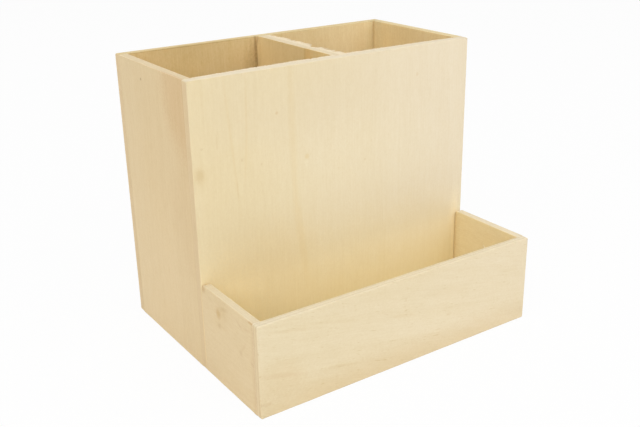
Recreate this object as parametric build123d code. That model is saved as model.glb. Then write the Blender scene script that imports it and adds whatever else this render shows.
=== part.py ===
from build123d import *
import os

# A pen holder glued up from flat plywood boards: a tall box with two compartments, and a low
# tray along its front. +X is right, +Y is back and +Z is up, and the origin is on the table
# under the middle of the footprint.
#
# The back board and both front boards run the full width and cover the ends of the boards
# between them, so their own cut ends show as narrow strips on the left and right faces. The
# tray is a three-sided frame, sanded as one piece before it was glued on, which left its
# corners rounder than the holder's. The base boards drop in between the walls.

# Outside sizes, in millimetres
WIDTH = 160.0
HOLDER_DEPTH = 78.0
HOLDER_HEIGHT = 140.0
TRAY_REACH = 50.5
TRAY_HEIGHT = 45.5

# Plywood thicknesses
HOLDER_PLY = 4.5
TRAY_PLY = 4.2
BASE_PLY = 3.0

# The divider's middle is this far right of the holder's middle, which leaves the left
# compartment a little wider than the right one
DIVIDER_SHIFT = 1.2

# Gaps that let a board slide in between two others before the glue sets
DIVIDER_GAP = 0.15
BASE_GAP = 0.15

# Sanding: the radius of the arris all round each board, and of the outline's corners
HOLDER_ARRIS = 0.3
TRAY_ARRIS = 0.5
BASE_ARRIS = 0.3
SAWN_ARRIS = 0.15
HOLDER_CORNER = 0.6
TRAY_CORNER = 1.4
TRAY_HEEL = 1.8

# Planes that several boards share, worked out from the sizes above
BACK = (HOLDER_DEPTH + TRAY_REACH) / 2
FRONT = -BACK
HOLDER_FRONT = BACK - HOLDER_DEPTH
RIGHT = WIDTH / 2
HOLDER_INSIDE = HOLDER_DEPTH - 2 * HOLDER_PLY
TRAY_INSIDE = TRAY_REACH - TRAY_PLY


def sand(board, radius, edges=None):
    """Rounds the given edges, or all of them, as far as a board this thin allows."""
    edges = board.edges() if edges is None else edges
    thinnest = min(board.bounding_box().size)
    return fillet(edges, min(radius, 0.4 * thinnest))


def rounded_outline(length, height, top, bottom):
    """A board's outline standing on its plane's X axis, with the corners' radii."""
    outline = Rectangle(length, height, align=(Align.CENTER, Align.MIN))
    corners = outline.vertices().group_by(Axis.Y)
    outline = fillet(corners[-1], top)
    corners = outline.vertices().group_by(Axis.Y)
    return fillet(corners[0], bottom)


def crosswise_board(width, height, ply, front_face, top=HOLDER_CORNER, bottom=HOLDER_CORNER):
    """An upright board that runs left to right, with its front face at the given Y."""
    face = Plane((0, front_face, 0), x_dir=(1, 0, 0), z_dir=(0, -1, 0))
    return extrude(face * rounded_outline(width, height, top, bottom), amount=-ply)


def lengthwise_board(outline, ply, left_face, middle):
    """An upright board that runs front to back. Its outline is seen from the right."""
    face = Plane((left_face, middle, 0), x_dir=(0, 1, 0), z_dir=(1, 0, 0))
    return extrude(face * outline, amount=ply)


def back_board():
    board = crosswise_board(WIDTH, HOLDER_HEIGHT, HOLDER_PLY, BACK - HOLDER_PLY)
    return sand(board, HOLDER_ARRIS)


def holder_front_board():
    board = crosswise_board(WIDTH, HOLDER_HEIGHT, HOLDER_PLY, HOLDER_FRONT)
    return sand(board, HOLDER_ARRIS)


def holder_side_board(left_face):
    """The end boards of the tall box fit between its front and back boards."""
    outline = Rectangle(HOLDER_INSIDE, HOLDER_HEIGHT, align=(Align.CENTER, Align.MIN))
    middle = (HOLDER_FRONT + BACK) / 2
    return sand(lengthwise_board(outline, HOLDER_PLY, left_face, middle), HOLDER_ARRIS)


def divider_board():
    """Stands on the base, flush with the rim. Its top edge is as the saw left it."""
    length = HOLDER_INSIDE - 2 * DIVIDER_GAP
    outline = Rectangle(length, HOLDER_HEIGHT - BASE_PLY, align=(Align.CENTER, Align.MIN))
    middle = (HOLDER_FRONT + BACK) / 2
    board = lengthwise_board(outline, HOLDER_PLY, DIVIDER_SHIFT - HOLDER_PLY / 2, middle)
    board = Pos(0, 0, BASE_PLY) * board
    rim = board.edges().group_by(Axis.Z)[-1]
    planed = [edge for edge in board.edges() if edge not in rim]
    board = sand(board, HOLDER_ARRIS, planed)
    return sand(board, SAWN_ARRIS, board.edges().group_by(Axis.Z)[-1])


def tray_front_board():
    board = crosswise_board(WIDTH, TRAY_HEIGHT, TRAY_PLY, FRONT, TRAY_CORNER, TRAY_CORNER)
    return sand(board, TRAY_ARRIS)


def tray_side_board(left_face):
    """Butts against the holder's front board, with its top rear corner sanded away."""
    outline = Rectangle(TRAY_INSIDE, TRAY_HEIGHT, align=(Align.CENTER, Align.MIN))
    heel = outline.vertices().group_by(Axis.Y)[-1].sort_by(Axis.X)[-1]
    outline = fillet(heel, TRAY_HEEL)
    middle = (FRONT + TRAY_PLY + HOLDER_FRONT) / 2
    return sand(lengthwise_board(outline, TRAY_PLY, left_face, middle), TRAY_ARRIS)


def base_board(width, depth, middle):
    """A bottom board, let in flush with the lower edges of the walls around it."""
    outline = Rectangle(width - 2 * BASE_GAP, depth - 2 * BASE_GAP)
    board = extrude(Pos(0, middle, 0) * outline, amount=BASE_PLY)
    return sand(board, BASE_ARRIS)


def pen_holder():
    """Every board by the name of its node."""
    return {
        "back_board": back_board(),
        "holder_front_board": holder_front_board(),
        "holder_left_board": holder_side_board(-RIGHT),
        "holder_right_board": holder_side_board(RIGHT - HOLDER_PLY),
        "divider": divider_board(),
        "holder_base": base_board(
            WIDTH - 2 * HOLDER_PLY, HOLDER_INSIDE, (HOLDER_FRONT + BACK) / 2
        ),
        "tray_front_board": tray_front_board(),
        "tray_left_board": tray_side_board(-RIGHT),
        "tray_right_board": tray_side_board(RIGHT - TRAY_PLY),
        "tray_base": base_board(
            WIDTH - 2 * TRAY_PLY, TRAY_INSIDE, (FRONT + TRAY_PLY + HOLDER_FRONT) / 2
        ),
    }


if __name__ == "__main__":
    os.makedirs("parts", exist_ok=True)
    for name, board in pen_holder().items():
        export_step(board, f"parts/{name}.step")
        print(name, "volume", round(board.volume), "size", board.bounding_box().size)
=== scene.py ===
# %% [markdown]
# A pen holder of bare plywood: ten boards glued into a tall box with two compartments and a
# low tray. The measured model is loaded first, as a frame that is never moved. It gives each
# board's exact box, and everything below is fitted to those boxes, in metres.

# %% Load the frame
import math
import random

import bmesh
import bpy
from mathutils import Euler, Matrix, Vector


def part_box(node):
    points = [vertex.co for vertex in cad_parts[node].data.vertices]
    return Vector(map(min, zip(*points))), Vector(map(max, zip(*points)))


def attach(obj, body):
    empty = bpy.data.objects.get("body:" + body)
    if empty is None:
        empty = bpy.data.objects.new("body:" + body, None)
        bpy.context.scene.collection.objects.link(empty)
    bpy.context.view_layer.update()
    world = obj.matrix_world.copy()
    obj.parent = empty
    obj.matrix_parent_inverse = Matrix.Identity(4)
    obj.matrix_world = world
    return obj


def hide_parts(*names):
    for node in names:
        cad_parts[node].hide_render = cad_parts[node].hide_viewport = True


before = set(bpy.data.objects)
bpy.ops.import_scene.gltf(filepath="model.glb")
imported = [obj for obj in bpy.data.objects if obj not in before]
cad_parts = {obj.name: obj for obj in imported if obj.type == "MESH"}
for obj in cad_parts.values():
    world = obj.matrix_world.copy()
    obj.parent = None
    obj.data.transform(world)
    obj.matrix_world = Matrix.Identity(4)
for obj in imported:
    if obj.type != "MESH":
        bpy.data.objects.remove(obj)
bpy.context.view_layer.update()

MM = 0.001
X, Y, Z = 0, 1, 2

# %% [markdown]
# Most steps work on the vertices, edges or faces at some place on a board. Clicking them by
# hand isn't possible in a script, so these helpers select whatever passes a test of place
# or angle. Everything else is deselected first, because an operator acts on all that is
# selected.

# %% Selecting by place
SHARP = math.radians(55)
PARALLEL = 0.99
ON_PLANE = 1e-7


def select(kind, test):
    """Selects the active mesh's vertices, edges or faces that pass a test, in edit mode."""
    bpy.ops.mesh.select_mode(type=kind)
    bpy.ops.mesh.select_all(action="DESELECT")
    mesh = bpy.context.object.data
    cage = bmesh.from_edit_mesh(mesh)
    items = {"VERT": cage.verts, "EDGE": cage.edges, "FACE": cage.faces}[kind]
    for item in items:
        if test(item):
            item.select_set(True)
    bmesh.update_edit_mesh(mesh)


def runs_along(edge, axis):
    run = (edge.verts[1].co - edge.verts[0].co).normalized()
    return abs(run[axis]) > PARALLEL


def is_arris(edge):
    """An arris is where two faces of a board meet at about a right angle."""
    return len(edge.link_faces) == 2 and edge.calc_face_angle() > SHARP


def saw_through(axis, place):
    """Cuts new edges round the whole mesh where it meets a plane square to an axis."""
    point = Vector((0, 0, 0))
    point[axis] = place
    square = Vector((0, 0, 0))
    square[axis] = 1
    bpy.ops.mesh.select_all(action="SELECT")
    bpy.ops.mesh.bisect(plane_co=point, plane_no=square, threshold=ON_PLANE)


def make_active(piece):
    bpy.ops.object.select_all(action="DESELECT")
    piece.select_set(True)
    bpy.context.view_layer.objects.active = piece


print("an arris turns by more than", round(math.degrees(SHARP)), "degrees")

# %% [markdown]
# Each board is three-ply: a thick core between two thin face veneers, with the core's grain
# turned across the faces' grain. The boards differ only in which way they stand, which way
# their grain runs and how far they were sanded, so a small class holds those facts. "glued"
# names each glued side, and how far from the holder's middle plane the glue begins. "shy"
# says how far an end stands back from its neighbour, the thin dark line of a joint.

# %% What a board is
FRONT, BACK = (Y, "low"), (Y, "high")
VENEER = 1.05 * MM
HAIR = 0.02 * MM


class Board:
    """Where one board stands, how its grain runs and how it was sanded.

    corner, arris and heel are radii in millimetres, and turn is in degrees.
    """

    def __init__(self, node, through, grain, outward, corner=0.6, arris=0.3, glued=(), shy=None,
                 veneer=VENEER, heel=0.0, turn=0.0):
        self.node = node
        self.through = through
        self.grain = grain
        self.across = 3 - through - grain
        self.plane = [axis for axis in (X, Y, Z) if axis != through]
        self.outward = outward
        self.corner = corner * MM
        self.arris = arris * MM
        self.glued = glued
        self.veneer = veneer
        self.heel = heel * MM
        self.turn = math.radians(turn)
        self.low, self.high = (Vector(end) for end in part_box(node))
        for (axis, end), gap in (shy or {}).items():
            if end == "low":
                self.low[axis] += gap
            else:
                self.high[axis] -= gap
        self.middle = (self.low + self.high) / 2
        self.size = self.high - self.low

    def place(self, side):
        """Where one side of the board lies on its own axis."""
        axis, end = side
        return self.low[axis] if end == "low" else self.high[axis]

    def is_glued(self, point):
        """Whether a point lies on a glued side, at most a hair off it."""
        return any(
            abs(point[side[0]] - self.place(side)) < HAIR and abs(point[X]) > inner_end - HAIR
            for side, inner_end in self.glued
        )


print("veneers are", round(VENEER / MM, 2), "mm thick")

# %% [markdown]
# Now every board gets its line in a table. Boards that meet flush were sanded after gluing,
# so the edges at the joint stay sharp. The tray was glued on last, and its sides stand a
# little off the tall box behind them.

# %% The ten boards
HOLDER_PLY = 4.5 * MM
TRAY_PLY = 4.2 * MM
THIN_VENEER = 0.7 * MM
TIGHT = 0.0
LOOSE = 0.06 * MM
OPEN = 0.18 * MM


def crosswise(node, outward, inner, end_ply, **facts):
    """A board that runs left to right and covers the ends of the side boards beside it."""
    low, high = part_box(node)
    return Board(node, through=Y, outward=outward, glued=((inner, high[X] - end_ply),), **facts)


def lengthwise(node, outward, rear_gap, **facts):
    """A side board, glued between the boards in front of it and behind it."""
    shy = {BACK: rear_gap}
    return Board(node, through=X, outward=outward, glued=((FRONT, 0), (BACK, 0)), shy=shy, **facts)


SAWN = {"grain": Z, "arris": 0.15, "turn": 1.1}
TRAY_SIDE = {"grain": Y, "corner": 0.5, "arris": 0.45, "heel": 1.8}
BASE = {"through": Z, "grain": X, "outward": -1, "corner": 0.3, "veneer": THIN_VENEER}
BOARDS = [
    crosswise("back_board", 1, FRONT, HOLDER_PLY, grain=Z),
    crosswise("holder_front_board", -1, BACK, HOLDER_PLY, grain=Z),
    lengthwise("holder_left_board", -1, TIGHT, grain=Z),
    lengthwise("holder_right_board", 1, TIGHT, grain=Z),
    lengthwise("divider", -1, TIGHT, **SAWN),
    Board("holder_base", **BASE),
    crosswise("tray_front_board", -1, BACK, TRAY_PLY, grain=X, corner=0.8, arris=0.55),
    lengthwise("tray_left_board", -1, LOOSE, **TRAY_SIDE),
    lengthwise("tray_right_board", 1, OPEN, **TRAY_SIDE),
    Board("tray_base", **BASE),
]
BY_NODE = {board.node: board for board in BOARDS}
for board in BOARDS:
    print(board.node, [round(side / MM, 2) for side in board.size], "mm")

# %% [markdown]
# A board starts as a block of its size. The corners of its outline are rounded, then the
# block is sawn into a grid, so that the sanding can vary along an edge. One more cut marks
# the place where a glued side begins.

# %% Block, corners and grid
GRID = 5 * MM
CORNER_SEGMENTS = 5
HEEL_SEGMENTS = 7


def cut_block(board):
    bpy.ops.object.select_all(action="DESELECT")
    bpy.ops.mesh.primitive_cube_add(size=1, location=board.middle, scale=board.size)
    bpy.ops.object.transform_apply(location=True, rotation=True, scale=True)
    block = bpy.context.object
    block.name = f"{board.node}_ply"
    return block


def is_joint(board, edge):
    return all(board.is_glued(vertex.co) for vertex in edge.verts)


def is_heel(board, edge):
    """The heel is the outline's top rear corner."""
    middle = board.middle
    return all(vertex.co.y > middle.y and vertex.co.z > middle.z for vertex in edge.verts)


def round_corners(board):
    """Rounds the free corners of the board's outline, and a tray side's heel more widely."""
    select("EDGE", lambda edge: runs_along(edge, board.through) and not is_joint(board, edge))
    bpy.ops.mesh.bevel(offset=board.corner, segments=CORNER_SEGMENTS, affect="EDGES")
    if board.heel:
        select("EDGE", lambda edge: runs_along(edge, board.through) and is_heel(board, edge))
        bpy.ops.mesh.bevel(offset=board.heel, segments=HEEL_SEGMENTS, affect="EDGES")


def saw_grid(board):
    for axis in (board.grain, board.across):
        steps = max(2, round(board.size[axis] / GRID))
        for step in range(1, steps):
            saw_through(axis, board.low[axis] + board.size[axis] * step / steps)
    for side, inner_end in board.glued:
        if inner_end:
            saw_through(X, -inner_end)
            saw_through(X, inner_end)


print("grid", round(GRID / MM), "mm")

# %% [markdown]
# Next comes the arris, the edge all round both faces. A bevel with a few segments rounds it,
# which is what catches the light on real sanded plywood. The two glue lines are cut last:
# three cuts a hair apart, with the middle one sunk to make a shallow groove.

# %% Arrises and glue lines
ARRIS_SEGMENTS = 3
GLUE_WIDTH = 0.09 * MM
GLUE_DEPTH = 0.02 * MM


def sand_arrises(board):
    """Rounds the arrises. Where one stops at a joint, the bevel ends in three-cornered faces.

    Those are marked sharp, or they would bend the shading of the flat faces beside them.
    """
    select("EDGE", lambda edge: is_arris(edge) and not is_joint(board, edge))
    bpy.ops.mesh.bevel(offset=board.arris, segments=ARRIS_SEGMENTS, affect="EDGES")
    select("FACE", lambda face: len(face.verts) == 3)
    bpy.ops.mesh.mark_sharp()


def score_glue_lines(board):
    """Cuts the two glue lines into the board's edges, each a shallow groove."""
    core = board.size[board.through] / 2 - board.veneer
    for side in (-1, 1):
        line = board.middle[board.through] + side * core
        for offset in (-GLUE_WIDTH, 0, GLUE_WIDTH):
            saw_through(board.through, line + offset)
        select("VERT", lambda vertex: abs(vertex.co[board.through] - line) < 0.2 * GLUE_WIDTH)
        bpy.ops.transform.shrink_fatten(value=-GLUE_DEPTH)


print("glue lines", round(2 * GLUE_WIDTH / MM, 2), "mm")

# %% [markdown]
# The divider was glued in a little out of square, so it is turned round an upright axis
# through its middle, and its left veneer stands out at the rear, below the rim. The other
# boards need only the steps above, so one loop makes all ten.

# %% Make the boards
SPLAY = 1.0 * MM
SPLAY_ROWS = ((0.5, 0.6), (1.5, 0.4))


def splay_veneer(board):
    """Lifts the left veneer's rear edge below the rim, as where the divider was pushed in.

    SPLAY_ROWS holds widths in rows of the grid, each with its share of the lift.
    """

    def is_splayed(vertex, rear):
        low_enough = vertex.co.z < board.high[Z] - GRID / 4
        return vertex.co.y > rear and vertex.co.x < board.low[X] + board.arris and low_enough

    for rows, share in SPLAY_ROWS:
        select("VERT", lambda vertex: is_splayed(vertex, board.high[Y] - rows * GRID))
        bpy.ops.transform.translate(value=(-share * SPLAY, 0, 0))


def turn_upright(angle, middle):
    """Turns the whole mesh round an upright axis. A positive angle takes its rear end left."""
    bpy.ops.mesh.select_all(action="SELECT")
    bpy.ops.transform.rotate(value=-angle, orient_axis="Z", center_override=middle)


def make_board(board):
    block = cut_block(board)
    bpy.ops.object.mode_set(mode="EDIT")
    round_corners(board)
    saw_grid(board)
    sand_arrises(board)
    score_glue_lines(board)
    if board.turn:
        splay_veneer(board)
        turn_upright(board.turn, board.middle)
    bpy.ops.object.mode_set(mode="OBJECT")
    return block


pieces = {board.node: make_board(board) for board in BOARDS}
for node, piece in pieces.items():
    print(node, len(piece.data.polygons), "faces")
divider_mesh = pieces["divider"].data
rear_end = max(divider_mesh.vertices, key=lambda vertex: vertex.co.y - vertex.co.x)
print("divider's rear left corner at", tuple(rear_end.co))

# %% [markdown]
# No sanded edge is perfectly even. A Displace modifier with a soft cloud texture pushes the
# arrises in by about a tenth of a millimetre, more in one place and less in the next. Only
# the rounded bands are in its vertex group, so the faces stay flat, and the glued edges are
# in it only slightly. A Weighted Normal modifier then keeps the flat faces shading flat
# beside the rounded bands.

# %% Uneven sanding
WEAR = 0.14 * MM
WEAR_SCALE = 7 * MM
GLUED_WEAR = 0.12
FLAT = 0.985
wear_pattern = bpy.data.textures.new("sanding", "CLOUDS")
wear_pattern.noise_scale = WEAR_SCALE
wear_pattern.noise_depth = 1


def finish_modifier(kind, **settings):
    """Adds a modifier to the active object with its settings, and applies it."""
    bpy.ops.object.modifier_add(type=kind)
    modifier = bpy.context.object.modifiers[-1]
    for name, value in settings.items():
        setattr(modifier, name, value)
    bpy.ops.object.modifier_apply(modifier=modifier.name)


def wear_edges(board, piece, amount):
    make_active(piece)
    rounded = [v for v in piece.data.vertices if max(map(abs, v.normal)) < FLAT]
    group = piece.vertex_groups.new(name="arrises")
    for vertex in rounded:
        group.add([vertex.index], GLUED_WEAR if board.is_glued(vertex.co) else 1.0, "REPLACE")
    finish_modifier(
        "DISPLACE",
        texture=wear_pattern,
        texture_coords="GLOBAL",
        vertex_group=group.name,
        strength=amount,
        mid_level=1.0,
    )
    piece.vertex_groups.clear()
    bpy.ops.object.shade_smooth_by_angle(angle=SHARP)
    finish_modifier("WEIGHTED_NORMAL", mode="FACE_AREA", weight=80, keep_sharp=True)
    return len(rounded)


for board in BOARDS:
    print(board.node, "worn at", wear_edges(board, pieces[board.node], WEAR), "vertices")

# %% [markdown]
# Where a saw leaves the wood, it tears the veneer's fibres outwards. One sliver is modelled,
# flat and tapering, and copied with its own mesh along the edge, each copy a little longer,
# wider or more slanted than the next.

# %% A sliver of torn wood
SLIVER_LENGTH = 1 * MM
SLIVER_WIDTH = 0.7 * MM
SLIVER_THICKNESS = 0.2 * MM
SHOULDER = 0.7 * SLIVER_LENGTH
SHOULDER_TAPER = (1, 0.8, 0.8)
TIP_TAPER = (1, 0.35, 0.4)
ROOTED = 0.5 * MM


def make_sliver():
    """A sliver of unit length that points along +X from its root at the origin."""
    bpy.ops.object.select_all(action="DESELECT")
    bpy.ops.mesh.primitive_cube_add(size=1, location=(0.5 * SLIVER_LENGTH, 0, 0))
    sliver = bpy.context.object
    sliver.scale = (SLIVER_LENGTH, SLIVER_WIDTH, SLIVER_THICKNESS)
    bpy.ops.object.transform_apply(location=True, rotation=True, scale=True)
    bpy.ops.object.mode_set(mode="EDIT")
    for place in (SHOULDER / 2, SHOULDER):
        saw_through(X, place)
    select("VERT", lambda vertex: vertex.co.x > SLIVER_LENGTH - HAIR)
    bpy.ops.transform.resize(value=TIP_TAPER)
    select("VERT", lambda vertex: abs(vertex.co.x - SHOULDER) < HAIR)
    bpy.ops.transform.resize(value=SHOULDER_TAPER)
    bpy.ops.object.mode_set(mode="OBJECT")
    return sliver


def copy_sliver(model, root, reach, width, heading, droop):
    """Width is a share of the model's, and the angles are in radians."""
    sliver = model.copy()
    sliver.data = model.data.copy()
    bpy.context.collection.objects.link(sliver)
    turn = Euler((0, droop, heading)).to_matrix().to_4x4()
    size = Matrix.Diagonal((reach / SLIVER_LENGTH, width, 1, 1))
    sliver.data.transform(Matrix.Translation(root) @ turn @ size)
    return sliver


def join_slivers(name, slivers):
    bpy.ops.object.select_all(action="DESELECT")
    for sliver in slivers:
        sliver.select_set(True)
    bpy.context.view_layer.objects.active = slivers[0]
    bpy.ops.object.join()
    fringe = bpy.context.object
    fringe.name = name
    print(name, len(slivers), "slivers", len(fringe.data.polygons), "faces")
    return fringe


def reach_at(profile, place):
    """Reads a table of places and reaches, in millimetres, along straight lines."""
    place = place / MM
    for (start, first), (end, second) in zip(profile, profile[1:]):
        if place < end:
            return (first + (second - first) * max(0, place - start) / (end - start)) * MM
    return profile[-1][1] * MM


sliver_model = make_sliver()
print("a sliver has", len(sliver_model.data.polygons), "faces")

# %% [markdown]
# The divider was sawn and never sanded, and the right side of its top edge is a ragged lip.
# Its reach changes along the edge, with a notch where a strip has broken off, so it is given
# as a table of places along Y and reaches. The slivers hang together in tufts, each longer or
# shorter than the next, and single teeth stick out between them. The lip turns with the
# divider.

# %% The divider's torn edge
LIP_COUNT = 320
TUFT = 6
TOOTH_COUNT = 34
END_GAP = 0.6 * MM
BELOW_RIM = (0.1, 0.2)
LIP_SPREAD = 0.08
LIP_DROOP = 0.02
TUFT_SHARES = (0.82, 1.0)
LIP_SHARES = (0.9, 1.05)
LIP_WIDTHS = (0.5, 1.0)
TOOTH_EXTRAS = (0.2, 1.2)
TOOTH_WIDTHS = (0.8, 1.5)
LIP_REACH = (
    (-9.2, 3.7), (-1.4, 4.2), (-0.9, 4.2), (-0.6, 1.2), (0.6, 1), (1.1, 3),
    (2.2, 4.2), (2.8, 4), (3.7, 3.2), (5.4, 3), (5.6, 1), (6.6, 1),
    (7, 2.8), (7.6, 4), (8.4, 4), (8.7, 1.5), (9.4, 1.5), (9.9, 3.2),
    (11, 3.4), (11.4, 2.2), (12, 2.4), (12.3, 4), (13.2, 4), (13.4, 1.2),
    (14.5, 0.9), (15.2, 0.8), (15.9, 0), (17.1, 0.2), (19.2, 1), (21, 2.6),
    (22.6, 3.4), (25.3, 4.2), (27.4, 4.4), (28.2, 3.4), (29.4, 3.5), (31.8, 4.2),
    (33.8, 4.7), (34.9, 4.2), (35.1, 2.7), (36.2, 2.9), (37.6, 4), (38.5, 2.7),
    (40.5, 3.4), (42.8, 3.4), (44.6, 4.4), (46.5, 4.4), (46.8, 2.9), (47.6, 3),
    (48.2, 4.6), (49.2, 4.9), (49.4, 1.9), (50.6, 1.9), (51.5, 3.6), (52, 2.3),
    (53.9, 3.2), (56.5, 2.6), (59.7, 2.6),
)
divider = BY_NODE["divider"]


def lip_sliver(rng, along, reach, width):
    height = divider.high[Z] - rng.uniform(*BELOW_RIM) * MM
    root = Vector((divider.high[X] - ROOTED, along, height))
    heading, droop = rng.gauss(0, LIP_SPREAD), rng.uniform(0, LIP_DROOP)
    return copy_sliver(sliver_model, root, reach + ROOTED, width, heading, droop)


def lip_slivers(rng):
    first, last = divider.low[Y] + END_GAP, divider.high[Y] - END_GAP
    tufts = [rng.uniform(*TUFT_SHARES) for number in range(LIP_COUNT // TUFT + 1)]
    for number in range(LIP_COUNT):
        along = first + (last - first) * (number + rng.uniform(-0.5, 0.5)) / LIP_COUNT
        along = min(max(along, first), last)
        share = tufts[number // TUFT] * rng.uniform(*LIP_SHARES)
        reach = reach_at(LIP_REACH, along) * share
        yield lip_sliver(rng, along, reach, rng.uniform(*LIP_WIDTHS))
    for number in range(TOOTH_COUNT):
        along = first + (last - first) * (number + rng.uniform(0.1, 0.9)) / TOOTH_COUNT
        reach = reach_at(LIP_REACH, along) + rng.uniform(*TOOTH_EXTRAS) * MM
        yield lip_sliver(rng, along, reach, rng.uniform(*TOOTH_WIDTHS))


torn_edge = join_slivers("divider_torn_edge", list(lip_slivers(random.Random(7))))
bpy.ops.object.mode_set(mode="EDIT")
turn_upright(divider.turn, divider.middle)
bpy.ops.object.mode_set(mode="OBJECT")

# %% [markdown]
# The saw also pushed a pale burr out over the rear edge of the front board's rim, widest in
# the middle. It is almost a solid lip with a fine ragged edge. On the tray's front board a
# single splinter stands up from the inner edge.

# %% Saw burr and a splinter
BURR_COUNT = 460
BURR_INSET = 5.2 * MM
BURR_SHARES = (0.82, 1.08)
BURR_WIDTHS = (0.7, 1.6)
BURR_SPREAD = 0.2
BURR_DROOP = 0.01
BURR_REACH = (
    (-75, 1.3), (-65, 2), (-53, 2.5), (-40, 3), (-30, 2.8), (-20, 3.5),
    (-10, 2.9), (14, 3.3), (24, 3.1), (37, 2.4), (53, 2.1), (63, 1.6),
    (68, 0.8), (75, 0.5),
)
QUARTER_TURN = math.radians(90)
front_board = BY_NODE["holder_front_board"]
tray_front = BY_NODE["tray_front_board"]


def burr_slivers(rng):
    first, last = front_board.low[X] + BURR_INSET, front_board.high[X] - BURR_INSET
    for number in range(BURR_COUNT):
        along = first + (last - first) * (number + 0.5) / BURR_COUNT
        reach = reach_at(BURR_REACH, along) * rng.uniform(*BURR_SHARES)
        height = front_board.high[Z] - rng.uniform(*BELOW_RIM) * MM
        root = Vector((along, front_board.high[Y] - ROOTED, height))
        heading = QUARTER_TURN + rng.gauss(0, BURR_SPREAD)
        width = rng.uniform(*BURR_WIDTHS)
        yield copy_sliver(sliver_model, root, reach + ROOTED, width, heading, BURR_DROOP)


rim_burr = join_slivers("front_rim_burr", list(burr_slivers(random.Random(11))))
SPLINTER_AT = Vector((53.6 * MM, tray_front.high[Y] - 0.25 * MM, tray_front.high[Z] - 0.4 * MM))
SPLINTER_REACH = 2.1 * MM
SPLINTER_WIDTH = 0.6
SPLINTER_TURNS = (math.radians(130), math.radians(-58))
splinter = copy_sliver(sliver_model, SPLINTER_AT, SPLINTER_REACH, SPLINTER_WIDTH, *SPLINTER_TURNS)
splinter.name = "tray_splinter"
bpy.data.objects.remove(sliver_model)

# %% [markdown]
# A material for wood reads like a sum: a base colour, plus broad bands, plus fine streaks.
# In Blender each plus sign is a node, which soon hides the idea. This small class wraps a
# socket so that the sum can be written as a sum, and each operator adds its node.

# %% A socket in a sum
class Wire:
    """A shader socket in a sum. An operator with a vector on either side is a vector sum."""

    def __init__(self, finish, socket):
        self.finish = finish
        self.socket = socket
        self.is_vector = socket.type in ("VECTOR", "RGBA")

    def combine(self, operation, first, second):
        vector = any(
            isinstance(side, Vector) or getattr(side, "is_vector", False)
            for side in (first, second)
        )
        kind = "ShaderNodeVectorMath" if vector else "ShaderNodeMath"
        return self.finish.add(kind, {"operation": operation}, {0: first, 1: second})

    def __add__(self, other):
        return self.combine("ADD", self, other)

    def __radd__(self, other):
        return self.combine("ADD", other, self)

    def __sub__(self, other):
        return self.combine("SUBTRACT", self, other)

    def __rsub__(self, other):
        return self.combine("SUBTRACT", other, self)

    def __mul__(self, other):
        return self.combine("MULTIPLY", self, other)

    def __rmul__(self, other):
        return self.combine("MULTIPLY", other, self)

    def __truediv__(self, other):
        return self.combine("DIVIDE", self, other)

    def __abs__(self):
        return self.finish.add("ShaderNodeMath", {"operation": "ABSOLUTE"}, {0: self})

    def limited(self):
        return self.finish.add("ShaderNodeClamp", {}, {0: self})

    def length(self):
        return self.finish.add("ShaderNodeVectorMath", {"operation": "LENGTH"}, {0: self}, "Value")


print("sums of sockets ready")

# %% [markdown]
# Every other node comes from one method, which takes a node's kind, its settings and its
# sockets' values or links. The short methods after it name what the wood needs again and
# again: a point, noise, a smooth step, and the mixing of two colours. A Mix node has a set
# of sockets for each kind of data, so its colours are found by number.

# %% The nodes of a finish
MIX_FIRST, MIX_SECOND, MIX_RESULT = 6, 7, 2


class Finish:
    """The nodes of a material or of the world, with one method that adds any node."""

    def __init__(self, owner):
        owner.use_nodes = True
        self.tree = owner.node_tree
        self.tree.nodes.clear()

    def add(self, kind, settings, sockets, result=0):
        """Adds a node: its settings first, then its sockets' values or links."""
        node = self.tree.nodes.new(kind)
        for name, value in settings.items():
            setattr(node, name, value)
        for key, value in sockets.items():
            target = node.inputs[key]
            if isinstance(value, Wire):
                self.tree.links.new(value.socket, target)
            elif target.type == "VECTOR" and not hasattr(value, "__len__"):
                target.default_value = (value, value, value)
            else:
                target.default_value = value
        return Wire(self, node.outputs[result])

    def show(self, kind, shader):
        """Adds the output node of a material or world and joins the shader to it."""
        output = self.tree.nodes.new(kind)
        self.tree.links.new(shader.socket, output.inputs["Surface"])

    def point(self, x, y, z):
        return self.add("ShaderNodeCombineXYZ", {}, {0: x, 1: y, 2: z})

    def parts(self, vector):
        """The three numbers of a vector, each as a wire."""
        node = self.add("ShaderNodeSeparateXYZ", {}, {0: vector}).socket.node
        return [Wire(self, part) for part in node.outputs]

    def noise(self, place, detail=2.0, roughness=0.5):
        """Soft noise about zero, between about -1 and 1, with features one unit across."""
        sockets = {"Vector": place, "Scale": 1.0, "Detail": detail, "Roughness": roughness}
        return (self.add("ShaderNodeTexNoise", {}, sockets) - 0.5) * 4

    def step(self, low, high, value):
        """0 below low and 1 above high, with a smooth rise between them."""
        settings = {"interpolation_type": "SMOOTHSTEP"}
        sockets = {"Value": value, "From Min": low, "From Max": high}
        return self.add("ShaderNodeMapRange", settings, sockets)

    def mix(self, share, first, second, blend="MIX"):
        """The first colour, turning into the second as share goes from 0 to 1."""
        settings = {"data_type": "RGBA", "blend_type": blend}
        sockets = {0: share, MIX_FIRST: first, MIX_SECOND: second}
        return self.add("ShaderNodeMix", settings, sockets, MIX_RESULT)

    def tint(self, share, colour, stain_and_shading):
        """Multiplies a colour by a stain, as far as share says."""
        return self.mix(share, colour, stain_and_shading, "MULTIPLY")


print("finish ready")

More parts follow.
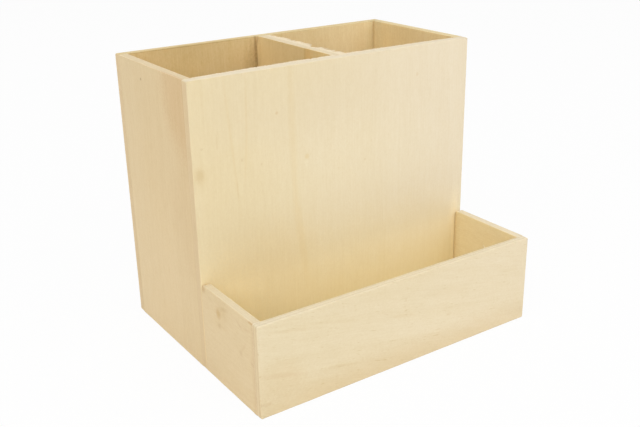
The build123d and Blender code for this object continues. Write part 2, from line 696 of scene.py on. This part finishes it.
# %% [markdown]
# Sawn wood is a solid, so its pattern is worked out in the block, not painted on a face. The
# noise is stretched along the grain: broad bands, growth rings a few millimetres wide, hair
# lines, soft mottling and fine specks. Short dark dashes are the wood's rays and pores, and
# appear where a stretched noise passes a threshold. The same block shows streaks on its face
# and dots on its cut end, as real wood does. "slope" tilts the grain on the board, and
# "sway" bends it. FEATURES gives each one's size across the grain, through the board and
# along the grain, in millimetres, then the noise's detail and roughness.

# %% Timber
FEATURES = {
    "sway": (30, 30, 75, 1, 0.5),
    "broad": (34, 40, 190, 2, 0.5),
    "rings": (4.5, 6, 90, 3, 0.6),
    "hairs": (0.6, 0.6, 22, 2, 0.6),
    "mottle": (2.4, 2.4, 7, 2, 0.6),
    "specks": (0.9, 0.9, 1.3, 2, 0.7),
    "dashes": (0.8, 0.8, 4, 1, 0.5),
}
UPRIGHT_GRAIN = {"broad": 0.34, "rings": 0.20, "hairs": 0.44, "specks": 0.50, "dashes": 0.8}
UPRIGHT_GRAIN.update(mottle=0.30, slope=0.0, sway=1.2)
LEVEL_GRAIN = {"broad": 0.34, "rings": 0.36, "hairs": 0.34, "specks": 0.55, "dashes": 1.9}
LEVEL_GRAIN.update(mottle=0.30, slope=-0.2, sway=2.2)
DASH_FROM, DASH_TO = 0.6, 1.2
THROUGH_APART, ALONG_APART, ACROSS_APART = 53.0, 31.0, 17.0


def feature(finish, name, across, through, along):
    """Noise stretched to the size of one feature of the wood."""
    wide, deep, long, detail, roughness = FEATURES[name]
    place = finish.point(across / wide, through / deep, along / long)
    return finish.noise(place, detail, roughness)


def timber(finish, board, along, across, seed, grain):
    """A block of pale wood: its tone, about -1 where it is pale and 1 where it is honey.

    Each seed cuts the block from another place in the same endless wood.
    """
    through = finish.axes[board.through] + seed * THROUGH_APART
    along = finish.axes[along] + seed * ALONG_APART
    across = finish.axes[across] + seed * ACROSS_APART
    sway = feature(finish, "sway", across, through, along)
    line = across - along * grain["slope"] + sway * grain["sway"]
    hairs = feature(finish, "hairs", line, through, along)
    dashes = finish.step(DASH_FROM, DASH_TO, feature(finish, "dashes", line, through, along))
    tone = (
        feature(finish, "broad", line, through, along) * grain["broad"]
        + feature(finish, "rings", line, through, along) * grain["rings"]
        + hairs * grain["hairs"]
        + feature(finish, "mottle", line, through, along) * grain["mottle"]
        + feature(finish, "specks", across, through, along) * grain["specks"]
        + dashes * grain["dashes"]
    )
    return tone, hairs


print("features", list(FEATURES))

# %% [markdown]
# Knots, specks and streaks are soft-edged ovals of a darker or paler stain in the face
# veneer, and a deep one shows on the board's edges too. Each is given by its place and
# half-sizes on the face in millimetres, along X or Y first and then up, with a lean in
# degrees. A stain multiplies the wood's colour, so a number above one makes a pale fleck.
# The wood is clear, so every mark is painted at half its strength.

# %% A mark in the veneer
MARK_STRENGTH = 0.5
RAGGED_EDGE = 0.22


# Some ovals carry painted shade or painted light in place of a stain: dark ones that deepen an
# inside corner, pale ones that lift the shade in one.
def oval(at, half, stain_and_shading, lean=0, edge=0.6, outside=True, deep=False):
    """One mark, as a function that paints it over a colour."""
    turn = math.radians(lean)
    cos, sin = math.cos(turn), math.sin(turn)

    def paint(finish, board, colour):
        first, second = (finish.axes[axis] for axis in board.plane)
        right = first - at[0]
        up = second - at[1]
        along = (right * cos + up * sin) * (1 / half[0])
        beside = (up * cos - right * sin) * (1 / half[1])
        distance = finish.point(along, beside, 0).length() + finish.ragged * RAGGED_EDGE
        share = (1 - finish.step(1 - edge, 1 + edge, distance)) * MARK_STRENGTH
        if not deep:
            share = share * (finish.outer_skin if outside else finish.inner_skin)
        return finish.tint(share, colour, (*stain_and_shading, 1))

    return paint


print("share of each stain", MARK_STRENGTH)

# %% [markdown]
# These are the marks that stand out on each board. Most of the widest ovals shade a sheet from one
# region to the next, as a real veneer does. The narrow dark ones along an inside corner are dark
# glue joints deepened with painted shade, and the soft dark ovals beside them are painted shade
# that grows into the corner. Low on the tall front board, pale ovals in the tray's corners are
# painted light that lifts the shade there, and along the back board's inner top edge two thin dark
# ovals are painted shade that dims the highlight on its arris.
# region to the next, as a real veneer does, and the narrow dark ones along an inside corner
# stand for the glue and dust that gather there.

# %% Marks on every board
PORE = (0.89, 0.84, 0.74)
FAINT = (0.94, 0.90, 0.82)
FINE = (0.95, 0.92, 0.85)
YELLOW = (0.975, 0.935, 0.84)
PINK = (0.88, 0.76, 0.64)
PALE = (1.04, 1.06, 1.10)

MARKS = {
    "holder_front_board": [
        oval((-76.7, 96.9), (3.1, 4.6), FAINT),
        oval((-76.7, 97.4), (1.9, 2.4), (0.88, 0.82, 0.72)),
        oval((-28, 108), (1.7, 33), YELLOW, lean=1, edge=0.7),
        oval((-24.8, 57), (1.9, 24), YELLOW, lean=6.5, edge=0.7),
        oval((-60.4, 112), (0.55, 27), YELLOW, lean=4.7, edge=0.8),
        oval((-52, 125), (0.5, 12), YELLOW, lean=-2, edge=0.8),
        oval((-53, 104), (0.6, 12), YELLOW, lean=-5, edge=0.8),
        oval((-67.4, 111), (0.4, 3), FAINT, edge=0.4),
        oval((-73.3, 126), (0.5, 10), FINE, edge=0.8),
        oval((-56.6, 87.4), (1.2, 3.5), PALE, edge=0.5),
        oval((-58.3, 87), (0.35, 4.2), FAINT, edge=0.4),
        oval((-20.3, 95.6), (1.1, 1.2), (0.93, 0.85, 0.62), edge=0.5),
        oval((-20.7, 92.6), (1.2, 1.4), PALE),
        oval((-36.2, 119.2), (0.7, 0.7), (0.86, 0.74, 0.54)),
        oval((-55.3, 100.5), (0.6, 0.7), PORE),
        oval((-45.3, 96.6), (0.5, 0.6), PORE),
        oval((-75, 109.2), (0.7, 0.5), PORE),
        oval((13.9, 87.5), (0.6, 0.6), PORE),
        oval((17.9, 96.3), (0.4, 0.7), FAINT, edge=0.4),
        oval((-2.2, 85.9), (0.4, 0.8), FAINT, edge=0.4),
        oval((46.6, 125.6), (0.8, 0.9), (0.92, 0.85, 0.72)),
        oval((5, 74), (62, 32), (1.08, 1.12, 1.14), edge=0.7),
        oval((-14, 73), (20, 26), (1.04, 1.06, 1.12), edge=0.8),
        oval((-25, 128), (45, 18), (0.96, 0.96, 0.96), edge=0.7),
        oval((-42, 48), (24, 18), (1, 0.96, 0.89), edge=0.7),
        oval((-22, 110), (25, 18), (1.01, 1.02, 1.07), edge=0.7),
        oval((-60, 128), (16, 20), (0.99, 1, 1.06), edge=0.7),
        # Painted light: these three pale ovals lift the shade low in the tray's left and right
        # corners.
        oval((-70, 22), (18, 26), (1.15, 1.12, 1.04), edge=0.8),
        oval((75.4, 20), (1.4, 25), (1.14, 1.12, 1.06), edge=0.5),
        oval((75.2, 44), (3, 12), (1.16, 1.16, 1.16), edge=0.7),
    ],
    "holder_left_board": [
        oval((35.1, 132.4), (0.65, 0.6), (0.42, 0.28, 0.14)),
        oval((-12, 132), (23, 30), PINK, lean=-12, edge=0.35),
        oval((-8, 72), (17, 27), (0.97, 0.94, 0.91), lean=-15, edge=0.4),
        oval((40, 45), (30, 60), (1.07, 1.07, 1.08), edge=0.5),
        oval((10, 102), (27, 48), (0.96, 0.935, 0.88)),
    ],
    "divider": [
        oval((16, 128), (1.2, 14), (0.84, 0.81, 0.72), edge=0.5),
        oval((13.3, 128), (4.2, 14), (1.03, 0.89, 0.66), edge=0.3),
        oval((3, 130), (7.5, 14), (1.14, 1.11, 1)),
        # Painted shade: darkens the divider's rear end where it meets the back board.
        oval((59.8, 100), (4.5, 30), (0.7, 0.7, 0.66)),
    ],
    "back_board": [
        oval((38.6, 133.2), (1, 1.2), FAINT, edge=0.4, outside=False),
        oval((-66, 134), (11, 12), (1.14, 1.15, 1.24), edge=0.7, outside=False),
        oval((-50, 124), (16, 8), (1.16, 1.17, 1.16), edge=0.8, outside=False),
        oval((1.5, 140), (8, 1), (1.16, 1.24, 1.45), edge=0.7, deep=True),
        # Painted shade along the inner top edge, dimming the highlight on the arris.
        oval((-40, 139.8), (38, 0.4), (0.6, 0.52, 0.36), outside=False),
        oval((40, 139.8), (38, 0.4), (0.88, 0.88, 0.84), outside=False),
        # A dark glue joint at the divider's corner, deepened with painted shade, then painted
        # shade spreading from it.
        oval((-3.5, 142), (0.75, 20), (0.42, 0.32, 0.22), edge=0.8, outside=False),
        oval((-3.8, 70), (2.6, 80), (0.8, 0.76, 0.68), edge=0.8, outside=False),
        # A dark joint at the right rear corner, deepened with painted shade, then painted shade
        # beside it.
        oval((75.6, 100), (1.2, 80), (0.8, 0.72, 0.62), edge=0.5, outside=False),
        oval((75.6, 100), (5, 60), (0.9, 0.95, 0.96), edge=0.8, outside=False),
        # Painted shade, wide and soft, left of the divider's corner.
        oval((-5.6, 100), (6.5, 28), (0.52, 0.48, 0.41), outside=False),
    ],
    "holder_right_board": [
        # A dark joint at the rear corner, deepened with painted shade, then painted shade
        # spreading from it.
        oval((59.8, 100), (1, 80), (0.84, 0.76, 0.66), edge=0.5, outside=False),
        oval((59.8, 100), (7.5, 60), (0.72, 0.8, 0.93), edge=0.9, outside=False),
    ],
    "tray_left_board": [
        oval((-32.5, 38.3), (4.6, 4.4), (0.94, 0.91, 0.84), edge=0.7),
        oval((-29.4, 37), (1.9, 2.4), (0.8, 0.66, 0.42), edge=0.7),
        oval((-34.6, 41.2), (3.2, 0.9), (0.86, 0.8, 0.68), lean=-14, edge=0.8),
        oval((-29.8, 31.2), (1.5, 1.4), (0.84, 0.77, 0.64), edge=0.8),
        oval((-33.6, 31.6), (2.4, 0.6), FAINT, edge=0.8),
        oval((-48.7, 39.8), (2.2, 0.6), (0.88, 0.82, 0.74), lean=27, edge=0.8),
        oval((-55.2, 39.9), (2.7, 0.6), (0.92, 0.87, 0.8), lean=-5, edge=0.8),
        oval((-51.6, 30), (3.2, 0.7), (0.92, 0.87, 0.8), lean=-50, edge=0.8),
        oval((-48.8, 26.1), (1.2, 1.4), (0.88, 0.82, 0.74), edge=0.8),
        oval((-58.4, 25.2), (1.5, 1), (0.88, 0.81, 0.72), lean=20, edge=0.8),
        oval((-58.6, 45), (2, 0.45), (0.78, 0.6, 0.36), edge=0.5),
        oval((-15.4, 44), (1.9, 1.6), (0.74, 0.58, 0.38), deep=True),
        oval((-60, 22), (1.6, 30), (0.93, 0.89, 0.84), edge=0.9),
    ],
    "tray_front_board": [
        oval((-65, 39), (13.5, 0.8), FAINT, lean=-12, edge=0.7),
        oval((-39, 35.2), (13.5, 0.7), FINE, lean=-14, edge=0.7),
        oval((-67.5, 18), (11.5, 1.1), (0.93, 0.87, 0.8), lean=-15, edge=0.7),
        oval((-77.2, 6.8), (3.2, 0.9), (0.9, 0.84, 0.76), lean=-8),
        oval((-1.5, 26.4), (7, 0.7), FAINT, lean=-14, edge=0.7),
        oval((-38, 12.3), (9.5, 0.8), FAINT, lean=-10, edge=0.7),
        oval((27.3, 18.4), (1.2, 1), FAINT),
        oval((-45, 45.5), (38, 4.5), (1.01, 1.02, 1.04), edge=0.7),
        # Darker and warmer along the foot of the board.
        oval((0, 1), (120, 9), (0.88, 0.8, 0.66), edge=0.8),
        oval((-70, 17), (12, 9), (0.95, 0.9, 0.82)),
    ],
    "tray_right_board": [
        # A dark joint where the tray side meets the tall box, deepened with painted shade, then
        # painted shade beside it.
        oval((-14.4, 20), (1, 32), (0.76, 0.64, 0.48), edge=0.5, outside=False),
        oval((-14.2, 20), (3.8, 32), (0.84, 0.8, 0.72), edge=0.8, outside=False),
    ],
}
print("marks", {node: len(marks) for node, marks in MARKS.items()})

# %% [markdown]
# A plywood board is three such blocks. The depth from the board's middle says which ply a
# point is in: the core's grain runs across the faces' grain, and the glue between them is a
# thin amber line. Along a glued joint the wood is a little darker, where glue has soaked in.

# %% Where a point lies in its board
RAGGED_SCALE = 0.8
SKIN_FROM, SKIN_TO = 1.3, 1.1
SOAKED_FROM, SOAKED_TO = 0.08, 0.5
JOINT_FADE = 0.3


def locate(finish, board):
    """Finds a point's axes in millimetres, which way it faces and how deep it lies."""
    place = finish.add("ShaderNodeTexCoord", {}, {}, "Object")
    if board.turn:
        back = Matrix.Rotation(-board.turn, 3, "Z")
        sockets = {"Vector": place, "Location": board.middle - back @ board.middle}
        sockets["Rotation"] = (0, 0, -board.turn)
        place = finish.add("ShaderNodeMapping", {}, sockets)
    place = place * (1 / MM)
    finish.axes = finish.parts(place)
    normal = finish.add("ShaderNodeNewGeometry", {}, {}, "Normal")
    finish.facing = [abs(part) for part in finish.parts(normal)]
    finish.ragged = finish.noise(place * RAGGED_SCALE, 2, 0.6)
    half = board.size[board.through] / 2 / MM
    finish.level = (finish.axes[board.through] - board.middle[board.through] / MM) * board.outward
    finish.outer_skin = finish.step(half - SKIN_FROM, half - SKIN_TO, finish.level)
    finish.inner_skin = finish.step(half - SKIN_FROM, half - SKIN_TO, finish.level * -1)


def soaked_share(finish, board):
    """How much glue has soaked in: 1 at a glued joint, 0 beyond half a millimetre."""
    off_middle = abs(finish.axes[X])
    total = 0.0
    for side, inner_end in board.glued:
        distance = abs(finish.axes[side[0]] - board.place(side) / MM)
        share = 1 - finish.step(SOAKED_FROM, SOAKED_TO, distance)
        if inner_end:
            share = share * finish.step(inner_end / MM - JOINT_FADE, inner_end / MM, off_middle)
        total = total + share
    return total * (0.7 + finish.ragged * 0.3)


print("glue soaks in", SOAKED_TO, "mm")

# %% [markdown]
# The colours are linear, as light adds up, so they look darker in numbers than on screen. The tone
# takes more from blue than from red, which turns pale wood to honey. A wide veneer also drifts
# from paler sapwood to darker heartwood across the sheet, so each face has two colours: one at the
# board's left or front end, and one at its right or rear end. The back board's inner face is much
# darker and warmer at its left end, in the left compartment. The tall front board is also yellower
# towards its foot, where painted bounce light stands in for the glow that the tray's boards throw
# back onto it. A board's sawn edges have colours of their own: pale along the top, where they were
# sanded last, and warmer on the ends. At the tray's front corners the glue lines show more, and
# the inner veneer's end is as dark as the board beside it.

# %% Colours of the plies
def even(*colour):
    """The same colour at both ends of a board."""
    return colour, colour


WARMTH = Vector((0.045, 0.066, 0.12))
GLUE = (0.93, 0.90, 0.85, 1)
GLUE_LINES = {"tray_front_board": (0.78, 0.71, 0.60, 1)}
CORE = (0.975, 0.965, 0.945, 1)
SOAKED = (0.93, 0.90, 0.85, 1)
UNSEEN = even(0.90, 0.78, 0.53)
OUTER = {
    "holder_front_board": ((0.80, 0.67, 0.42), (0.83, 0.72, 0.53)),
    "holder_left_board": ((0.86, 0.675, 0.405), (0.87, 0.69, 0.42)),
    "divider": even(0.89, 0.67, 0.33),
    "tray_front_board": ((0.785, 0.665, 0.442), (0.815, 0.696, 0.486)),
    "tray_left_board": even(0.87, 0.69, 0.42),
    "back_board": ((0.88, 0.71, 0.44), (0.90, 0.725, 0.455)),
    "holder_right_board": ((0.88, 0.70, 0.43), (0.89, 0.72, 0.45)),
    "tray_right_board": even(0.88, 0.70, 0.43),
}
INNER = {
    "back_board": ((0.69, 0.50, 0.225), (0.89, 0.71, 0.405)),
    "holder_right_board": ((0.98, 0.75, 0.395), (0.975, 0.755, 0.40)),
    "tray_right_board": even(0.86, 0.72, 0.44),
}
CUT_END = (0.86, 0.67, 0.41)
SAWN_EDGES = {
    "holder_front_board": ((0.87, 0.76, 0.565), CUT_END),
    "back_board": ((0.78, 0.625, 0.345), CUT_END),
    "holder_right_board": ((0.82, 0.68, 0.40), CUT_END),
    "holder_left_board": ((0.81, 0.665, 0.435), CUT_END),
    "divider": ((0.85, 0.72, 0.50), CUT_END),
    "tray_front_board": ((0.86, 0.755, 0.555), (0.89, 0.72, 0.46)),
    "tray_right_board": ((0.87, 0.765, 0.565), CUT_END),
}
SAWN_EDGE = ((0.85, 0.735, 0.515), CUT_END)
VENEER_END = (*CUT_END, 1)
# Painted bounce light: the glow that the tray's boards throw back onto the tall front board's
# foot.
PAINTED_BOUNCE_COLOUR = (0.92, 0.795, 0.495, 1)
BOUNCE_FROM, BOUNCE_TO = 15, 70


def drifting(finish, board, ends):
    """A face's colour, which drifts from one end of the board to the other."""
    axis = board.plane[0]
    share = finish.step(board.low[axis] / MM, board.high[axis] / MM, finish.axes[axis])
    colour = finish.mix(share, (*ends[0], 1), (*ends[1], 1))
    # On the tall front board, painted bounce light turns the face yellower towards its foot.
    if board.node == "holder_front_board":
        above_bounce = finish.step(BOUNCE_FROM, BOUNCE_TO, finish.axes[Z])
        colour = finish.mix(above_bounce, PAINTED_BOUNCE_COLOUR, colour)
    return colour


print("colours for", len(OUTER) + len(INNER), "faces")

# %% [markdown]
# The plies' colours, tones, glue lines and marks now come together in one material a board.
# The insides were sanded less, so their grain shows more, and the grain of one sheet shows
# more than that of another.

# %% Plywood
INNER_GRAIN = 1.5
SHEET_GRAIN = {"holder_front_board": 0.65, "tray_right_board": 0.8}
CORE_SEED = 5
MIDDLE_BLEND = 0.2
PLY_BLEND = 0.03
END_BLEND = 0.05
GLUE_FROM, GLUE_TO = 0.05, 0.16
MATT = {"Roughness": 0.78, "Specular IOR Level": 0.3}
RELIEF = {"Strength": 0.6, "Distance": 0.02 * MM}


def bare_wood(finish, colour, height):
    """Joins the colour and the hair lines' relief to a matt, unvarnished surface."""
    bump = finish.add("ShaderNodeBump", {}, {**RELIEF, "Height": height})
    sockets = {**MATT, "Base Color": colour, "Normal": bump}
    finish.show("ShaderNodeOutputMaterial", finish.add("ShaderNodeBsdfPrincipled", {}, sockets))


def face_colour(finish, board, outside):
    """The colour of the outer face, and that of the inner face on the other side."""
    outer = drifting(finish, board, OUTER.get(board.node, UNSEEN))
    inner = drifting(finish, board, INNER.get(board.node, UNSEEN))
    return finish.mix(outside, inner, outer)


def edge_colour(finish, board, core_half, in_veneer):
    """The colour of the board's edges, where the three plies and the glue lines show."""
    top, end = ((*colour, 1) for colour in SAWN_EDGES.get(board.node, SAWN_EDGE))
    if board.node == "tray_front_board":
        inner_end = finish.step(core_half - END_BLEND, core_half + END_BLEND, -1 * finish.level)
        end = finish.mix(inner_end, end, VENEER_END)
    edge = finish.mix(finish.facing[Z], end, top)
    edge = finish.tint(1 - in_veneer, edge, CORE)
    glue_line = 1 - finish.step(GLUE_FROM, GLUE_TO, abs(abs(finish.level) - core_half))
    return finish.tint(glue_line, edge, GLUE_LINES.get(board.node, GLUE))


def plywood(board, seed, marks):
    wood = bpy.data.materials.new(f"{board.node}_wood")
    finish = Finish(wood)
    locate(finish, board)
    core_half = (board.size[board.through] / 2 - board.veneer) / MM
    in_veneer = finish.step(core_half - PLY_BLEND, core_half + PLY_BLEND, abs(finish.level))
    outside = finish.step(-MIDDLE_BLEND, MIDDLE_BLEND, finish.level)

    grain = LEVEL_GRAIN if board.grain == X else UPRIGHT_GRAIN
    face_tone, face_hairs = timber(finish, board, board.grain, board.across, seed, grain)
    core_tone, core_hairs = timber(
        finish, board, board.across, board.grain, seed + CORE_SEED, UPRIGHT_GRAIN
    )
    unsanded = INNER_GRAIN + (1 - INNER_GRAIN) * outside
    tone = core_tone + (face_tone - core_tone) * in_veneer
    tone = tone * unsanded * SHEET_GRAIN.get(board.node, 1.0)

    face = face_colour(finish, board, outside)
    edge = edge_colour(finish, board, core_half, in_veneer)
    colour = finish.mix(finish.facing[board.through], edge, face) * (1 - tone * WARMTH)
    for paint in marks:
        colour = paint(finish, board, colour)
    if board.glued:
        colour = finish.tint(soaked_share(finish, board), colour, SOAKED)
    bare_wood(finish, colour, core_hairs + (face_hairs - core_hairs) * in_veneer)
    return wood


for seed, board in enumerate(BOARDS):
    wood = plywood(board, seed, MARKS.get(board.node, ()))
    pieces[board.node].data.materials.append(wood)
    print(wood.name, len(wood.node_tree.nodes), "nodes")

# %% [markdown]
# Torn fibres are bright: they are fresh wood that was never sanded or handled, and light passes
# into them from all sides. They take a paler colour of their own, made paler still as painted
# light that lifts the shade between the fibres, with the same scale of speckle, and faint brown
# threads run through the burr, where the saw scorched it.

# %% Torn fibres
# Both colours are partly painted light, paler than the wood to lift the shade between the fibres.
LIP_COLOUR = Vector((0.90, 0.77, 0.555))
BURR_COLOUR = Vector((0.91, 0.79, 0.58))
SPECKLE_SCALE = 0.9
SPECKLE_STRENGTH = 1.6
THREAD_SCALE = 0.55
THREAD_OFFSET = 7.3
THREAD_FROM, THREAD_TO = 0.5, 1.2
SCORCHED = (0.74, 0.60, 0.44, 1)
BURR_SCORCH = 0.4


def torn_wood(name, tone, scorch=0.0):
    """Pale torn fibres, with brown threads where scorch is above zero."""
    wood = bpy.data.materials.new(name)
    finish = Finish(wood)
    place = finish.add("ShaderNodeTexCoord", {}, {}, "Object") * (1 / MM)
    speckle = finish.noise(place * SPECKLE_SCALE, 3, 0.7)
    colour = (1 - speckle * WARMTH * SPECKLE_STRENGTH) * tone
    if scorch:
        threads = finish.noise(place * THREAD_SCALE + THREAD_OFFSET, 2, 0.6)
        share = finish.step(THREAD_FROM, THREAD_TO, threads) * scorch
        colour = finish.tint(share, colour, SCORCHED)
    bare_wood(finish, colour, speckle)
    return wood


for piece, wood in (
    (torn_edge, torn_wood("torn_lip_wood", LIP_COLOUR)),
    (rim_burr, torn_wood("burr_wood", BURR_COLOUR, BURR_SCORCH)),
    (splinter, torn_wood("splinter_wood", BURR_COLOUR)),
):
    piece.data.materials.append(wood)
print("materials", len(bpy.data.materials))

# %% [markdown]
# Every piece now rides on the frame's only body, and each measured board is hidden.

# %% Ride on the frame
for node, piece in pieces.items():
    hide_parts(node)
    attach(piece, "root")
TORN = {torn_edge: "divider", rim_burr: "holder_front_board", splinter: "tray_front_board"}
for piece, node in TORN.items():
    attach(piece, "root")
print(len(pieces) + len(TORN), "pieces ride on root")

# %% [markdown]
# The stage is a white floor under soft light, as in a product picture. What the camera sees
# of the floor is mostly plain white light, mixed with a little of its real shading, so that
# the holder keeps a faint shadow. The same trick makes the room behind it white.

# %% White floor and room
FLOOR_SIZE = 6
FLOOR_DROP = 0.02 * MM
PAPER = (0.9, 0.9, 0.9, 1)
WHITE = (1, 1, 1, 1)
WHITE_SHARE = 0.95
ROOM_LEVEL = 0.418


def seen_directly(finish):
    """1 for light that goes straight, or by a mirror or glass, to the camera; 0 elsewhere."""
    path = finish.add("ShaderNodeLightPath", {}, {}, "Is Camera Ray")
    total = path
    for name in ("Is Glossy Ray", "Is Transmission Ray"):
        total = total + Wire(finish, path.socket.node.outputs[name])
    return total.limited()


def white_floor():
    bpy.ops.object.select_all(action="DESELECT")
    bpy.ops.mesh.primitive_plane_add(size=FLOOR_SIZE, location=(0, 0, -FLOOR_DROP))
    floor = bpy.context.object
    floor.name = "floor"
    bpy.ops.object.mode_set(mode="EDIT")
    bpy.ops.mesh.subdivide(number_cuts=3)
    bpy.ops.object.mode_set(mode="OBJECT")
    paper = bpy.data.materials.new("white_paper")
    finish = Finish(paper)
    matt = finish.add("ShaderNodeBsdfDiffuse", {}, {"Color": PAPER})
    white = finish.add("ShaderNodeEmission", {}, {"Strength": 1.0})
    sockets = {0: seen_directly(finish) * WHITE_SHARE, 1: matt, 2: white}
    finish.show("ShaderNodeOutputMaterial", finish.add("ShaderNodeMixShader", {}, sockets))
    floor.data.materials.append(paper)


def white_room(level):
    world = bpy.data.worlds.new("white_room")
    bpy.context.scene.world = world
    finish = Finish(world)
    room = finish.add("ShaderNodeBackground", {}, {"Strength": level})
    backdrop = finish.add("ShaderNodeBackground", {}, {"Color": WHITE, "Strength": 1.0})
    sockets = {0: seen_directly(finish), 1: room, 2: backdrop}
    finish.show("ShaderNodeOutputWorld", finish.add("ShaderNodeMixShader", {}, sockets))


white_floor()
white_room(ROOM_LEVEL)
print("floor", FLOOR_SIZE, "m across")

# %% [markdown]
# The photograph's light comes mostly from the front: the front is the brightest side, the
# left side is a sixth darker, and the insides are lit well enough to show their grain. So a
# large softbox stands in front, a second stands high at the left, and two faint ones hang
# above and behind, where they light the rims. They are far away compared with the holder's
# size, so that their light is even.

# %% Softboxes
AIM = Vector((0, 0, 0.06))
SOFTBOXES = {
    "front_softbox": ((0.35, -1.3, 0.9), 1.5, 10.5),
    "left_softbox": ((-1.1, -0.7, 1.1), 1.4, 12.25),
    "top_softbox": ((0.2, 0.1, 1.4), 1.2, 2.7),
    "rear_softbox": ((0.2, 1.0, 1.5), 1.0, 3.4),
}

for name, (place, size, watts) in SOFTBOXES.items():
    bpy.ops.object.light_add(type="AREA", location=place)
    lamp = bpy.context.object
    lamp.name = name
    lamp.data.size = size
    lamp.data.energy = watts
    lamp.rotation_euler = (AIM - Vector(place)).to_track_quat("-Z", "Y").to_euler()
    print(name, watts, "W")

# %% [markdown]
# The camera stands where the photographer's did: left of the holder, looking down at about
# 21 degrees. Its place, angles and focal length come from the edges in the photograph.

# %% Camera
AZIMUTH = -33.822
ELEVATION = 21.475
ROLL = -1.098
STANDS_AT = Vector((-236.96, -347.2, 222.72)) * MM
FOCAL_LENGTH = 49.5
NEAREST = 0.01

bpy.ops.object.camera_add(location=STANDS_AT)
camera = bpy.context.object
camera.data.lens = FOCAL_LENGTH
camera.data.clip_start = NEAREST
turn = Matrix.Rotation(math.radians(AZIMUTH), 4, "Z")
tilt = Matrix.Rotation(math.radians(90 - ELEVATION), 4, "X")
roll = Matrix.Rotation(math.radians(ROLL), 4, "Z")
camera.matrix_world = Matrix.Translation(STANDS_AT) @ turn @ tilt @ roll
bpy.context.scene.camera = camera
bpy.context.scene.view_settings.view_transform = "Standard"
print("camera at", tuple(camera.location))
